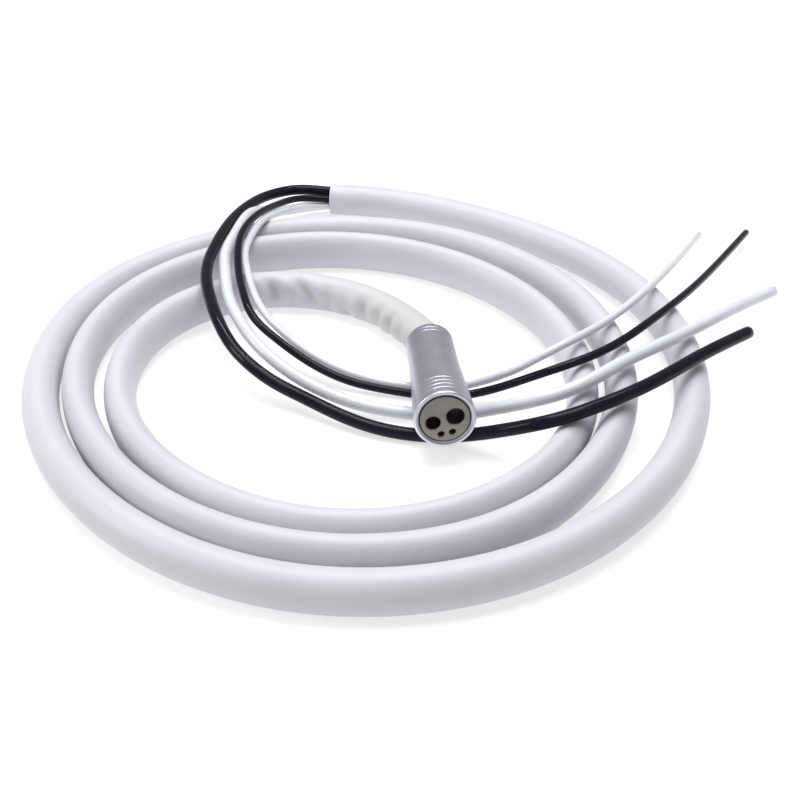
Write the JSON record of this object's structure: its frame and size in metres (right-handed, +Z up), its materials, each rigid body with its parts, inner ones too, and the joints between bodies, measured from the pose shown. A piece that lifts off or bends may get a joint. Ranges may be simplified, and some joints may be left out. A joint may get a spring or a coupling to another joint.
{
  "type": "dental handpiece hose",
  "caption": "Dental handpiece hose: sleeve-nut coupling with a holed core face, a soft grey sheath coiled flat, and bare inner air and water tubes leaving its cut end.",
  "frame": {"origin": "centre of the whole assembly in plan, on the surface that the coil lies on", "axes": "+X the long way of the assembly, towards the free tube ends; -Y the side that the coupling face looks to; +Z up"},
  "size_m": [0.1991, 0.1811, 0.0192],
  "materials": {
    "nut_aluminium": "satin turned, bluish grey",
    "washer_acetal": "smooth, off-white",
    "core_steel": "fine turned, warm grey",
    "ferrule_steel": "plain drawn",
    "sheath_silicone": "soft satin, light lavender grey",
    "spigot_steel": "plain turned",
    "sleeve_brass": "plain drawn",
    "clear_tube": "glossy, milky translucent",
    "black_tube": "glossy black"
  },
  "bodies": {
    "root": {"connector_core": "core_steel", "sheath_ferrule": "ferrule_steel", "hose_sheath": "sheath_silicone", "exhaust_spigot": "spigot_steel", "drive_air_spigot": "spigot_steel", "chip_air_spigot": "spigot_steel", "water_spigot": "spigot_steel", "exhaust_sleeve": "sleeve_brass", "drive_air_sleeve": "sleeve_brass", "exhaust_tube": "clear_tube", "drive_air_tube": "black_tube", "chip_air_tube": "black_tube", "water_tube": "clear_tube"},
    "washer": {"thrust_washer": "washer_acetal"},
    "nut": {"coupling_nut": "nut_aluminium"}
  },
  "joints": [
    {"name": "nut_slide", "type": "slide", "parent": "root", "child": "washer", "axis": [0.0675, -0.9902, 0.1219], "range_m": [0, 0.0049]},
    {"name": "nut_spin", "type": "hinge", "parent": "washer", "child": "nut", "pos_m": [0.003, -0.0411, 0.0123], "axis": [0.0675, -0.9902, 0.1219], "continuous": true}
  ]
}
